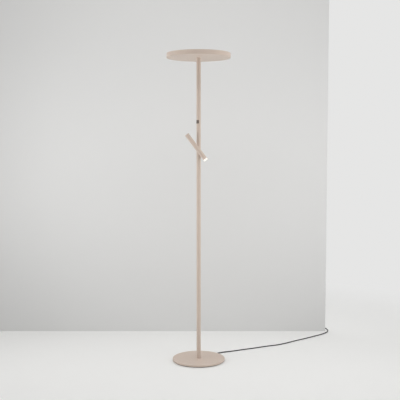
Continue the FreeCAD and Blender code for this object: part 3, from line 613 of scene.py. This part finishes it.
# Each row is a distance along the plug, and its half width and half height there.
plug_stations = np.array([
    (0.0000, 0.0038, 0.0038), (0.0180, 0.0054, 0.0050), (0.0200, 0.0072, 0.0058),
    (0.0250, 0.0080, 0.0066), (0.0310, 0.0125, 0.0069), (0.0370, 0.0172, 0.0069),
    (0.0530, 0.0175, 0.0069), (0.0540, 0.0166, 0.0060),
])
plug_along = np.linspace(0, plug_stations[-1, 0], plug_rings)
plug_wide = np.interp(plug_along, plug_stations[:, 0], plug_stations[:, 1])
plug_high = np.interp(plug_along, plug_stations[:, 0], plug_stations[:, 2])
ribs = boot_rib_height * (0.5 - 0.5 * np.cos(2 * np.pi * plug_along / boot_rib_pitch))
ribs = np.where(plug_along < boot_ribs_end, ribs, 0)
plug_power = np.interp(plug_along, [0.0, boot_end, shoulder_end], [1.0, 1.0, body_squareness])


def plug_sections(along, wide, high, power):
    """Sections along the plug, rounder or squarer with the power p: the point at turn t is
    (x, w sgn(cos t) |cos t|^p, h sgn(sin t) |sin t|^p)."""
    turn = np.linspace(0, 2 * np.pi, section_points, endpoint=False)[:, None]
    across = wide * np.sign(np.cos(turn)) * np.abs(np.cos(turn)) ** power
    upward = high * np.sign(np.sin(turn)) * np.abs(np.sin(turn)) ** power
    return np.stack(np.broadcast_arrays(along, across, upward), axis=-1)


plug_place = Matrix.Translation(cord_end) @ Matrix.Rotation(math.atan2(heading.y, heading.x), 4, "Z")
moulded_plug = skinned("moulded_plug", plug_sections(plug_along, plug_wide - ribs, plug_high - ribs,
                                                     plug_power), False, plug_place)
fit(moulded_plug, switch_black, "lamp_stand", "black_plastic", "mains_plug")
pin_metal = grained_finish("pin_metal", (0.72, 0.69, 0.62), fineness=700.0, clouding=0.1, grain=0.05,
                           roughness=0.25, bump=0.00001, metallic=1.0)
dress("plug_pins", pin_metal)


# ---- Floor and backdrop ----------------------------------------------------------------------
# A pale matt floor runs into the sky, in its plain colour.  A pale panel stands behind the lamp, and
# the cord goes out of sight round its edge.  A plain backdrop stands farther back.

def stage_plane(name, corners, finish):
    """One flat face through four corners."""
    mesh = bpy.data.meshes.new(name)
    mesh.from_pydata(corners, [], [(0, 1, 2, 3)])
    plane = bpy.data.objects.new(name, mesh)
    bpy.context.scene.collection.objects.link(plane)
    plane.data.materials.append(finish)


def seen_directly(tree):
    """1 where a camera ray, a mirror ray or a ray through glass arrives, and else 0."""
    ray = tree.nodes.new("ShaderNodeLightPath")
    seen = ray.outputs["Is Camera Ray"]
    for label in ("Is Glossy Ray", "Is Transmission Ray"):
        seen = worked(tree, "MAXIMUM", seen, ray.outputs[label])
    return seen


def mixed(tree, share, first, second):
    """The mix of two shaders, with the share of the second."""
    mix = tree.nodes.new("ShaderNodeMixShader")
    for output, socket in zip((share, first, second), mix.inputs):
        tree.links.new(output, socket)
    return mix.outputs[0]


pale = (0.79, 0.79, 0.785, 1.0)


def floor_finish(near, far):
    """A pale matt floor.  From near to far, as distances from the lamp, it turns smoothly into its
    plain colour, unlit."""
    finish = grained_finish("pale_floor", (0.84, 0.84, 0.83), fineness=60.0, clouding=0.02, grain=0.02,
                            roughness=0.7, bump=0.00005)
    tree = finish.node_tree
    place = tree.nodes.new("ShaderNodeTexCoord").outputs["Object"]
    fade = wired(tree, "ShaderNodeMapRange", [("interpolation_type", "SMOOTHSTEP")],
                 Value=distance(tree, place, (0, 0, 0)), From_Min=near, From_Max=far)
    share = worked(tree, "MULTIPLY", fade.outputs["Result"], seen_directly(tree))
    plain = wired(tree, "ShaderNodeEmission", Color=pale)
    shown = mixed(tree, share, tree.nodes["Principled BSDF"].outputs[0], plain.outputs[0])
    tree.links.new(shown, tree.nodes["Material Output"].inputs["Surface"])
    return finish


def wall_finish(name, colour, unlit):
    """A pale matt wall that is clear from behind.  An unlit one shows its plain colour."""
    finish, tree, shader = new_finish(name)[:3]
    shader.inputs["Base Color"].default_value = colour
    shader.inputs["Roughness"].default_value = 0.9
    front = shader.outputs[0]
    if unlit:
        plain = wired(tree, "ShaderNodeEmission", Color=colour)
        front = mixed(tree, seen_directly(tree), front, plain.outputs[0])
    side = tree.nodes.new("ShaderNodeNewGeometry")
    clear = tree.nodes.new("ShaderNodeBsdfTransparent")
    wall = mixed(tree, side.outputs["Backfacing"], front, clear.outputs[0])
    tree.links.new(wall, tree.nodes["Material Output"].inputs["Surface"])
    return finish


floor_reach = 60.0
wall_reach = 9.0
wall_height = 5.0
panel_y = 0.688
panel_right = 0.870
backdrop_y = 3.0
stage_plane("studio_floor", [(-floor_reach, -floor_reach, 0), (floor_reach, -floor_reach, 0),
                             (floor_reach, floor_reach, 0), (-floor_reach, floor_reach, 0)],
            floor_finish(near=1.2, far=2.8))
panel_pale = wall_finish("panel_pale", (0.70, 0.70, 0.695, 1.0), unlit=False)
backdrop_pale = wall_finish("backdrop_pale", pale, unlit=True)
for name, y, right, finish in (("studio_panel", panel_y, panel_right, panel_pale),
                               ("studio_backdrop", backdrop_y, wall_reach, backdrop_pale)):
    stage_plane(name, [(-wall_reach, y, 0), (right, y, 0), (right, y, wall_height),
                       (-wall_reach, y, wall_height)], finish)


# ---- Studio lamps ----------------------------------------------------------------------------
# Two low soft boxes stand left and right of the lamp, so that the round pole is lighter along both
# sides than along its middle, and the head below than round its rim.  A wide one hangs above, and the
# sky fills in.

def soft_box(name, place, target, width, height, watts, spread=180.0, mirrored=True):
    """A rectangular lamp at one place, turned to another and not itself in view.  A grid before it
    holds its light within the spread, in degrees.  One that isn't mirrored gives matt light alone."""
    lamp = bpy.data.lights.new(name, "AREA")
    lamp.shape = "RECTANGLE"
    lamp.size = width
    lamp.size_y = height
    lamp.energy = watts
    lamp.spread = math.radians(spread)
    box = bpy.data.objects.new(name, lamp)
    box.visible_camera = False
    box.visible_glossy = mirrored
    box.location = place
    box.rotation_euler = (Vector(target) - Vector(place)).to_track_quat("-Z", "Y").to_euler()
    bpy.context.scene.collection.objects.link(box)


upper_pole = (0, 0, 1.3)
soft_box("soft_box_left", (-2.1, -0.5, 0.9), upper_pole, width=1.2, height=1.4, watts=9.0, spread=100.0,
         mirrored=False)
soft_box("soft_box_right", (2.1, -0.7, 0.9), upper_pole, width=1.2, height=1.4, watts=8.4, spread=100.0,
         mirrored=False)
soft_box("soft_box_above", (0, -0.3, 4.6), (0, -0.3, 0), width=6.5, height=6.0, watts=164.0)

sky = bpy.data.worlds.new("pale_sky")
bpy.context.scene.world = sky
sky.use_nodes = True
sky_tree = sky.node_tree
sky_light = sky_tree.nodes["Background"]
sky_light.inputs["Color"].default_value = (1.0, 0.995, 0.985, 1.0)
sky_light.inputs["Strength"].default_value = 0.37
sky_seen = sky_tree.nodes.new("ShaderNodeBackground")
sky_seen.inputs["Color"].default_value = pale
sky_shown = mixed(sky_tree, seen_directly(sky_tree), sky_light.outputs[0], sky_seen.outputs[0])
sky_tree.links.new(sky_shown, sky_tree.nodes["World Output"].inputs["Surface"])


# ---- Camera ----------------------------------------------------------------------------------
# The camera stands 4.2 m in front of the lamp, as high as the pivot of the reading light, and looks
# down by four degrees.

looking_down = 4.0
eye = bpy.data.cameras.new("front_camera")
eye.sensor_width = 36.0
eye.lens = 65.03
camera = bpy.data.objects.new("front_camera", eye)
camera.location = (0.0079, -4.215, 1.248)
camera.rotation_euler = (math.radians(90.0 - looking_down), 0.0, 0.0)
bpy.context.scene.collection.objects.link(camera)
bpy.context.scene.camera = camera
bpy.context.scene.view_settings.view_transform = "Standard"
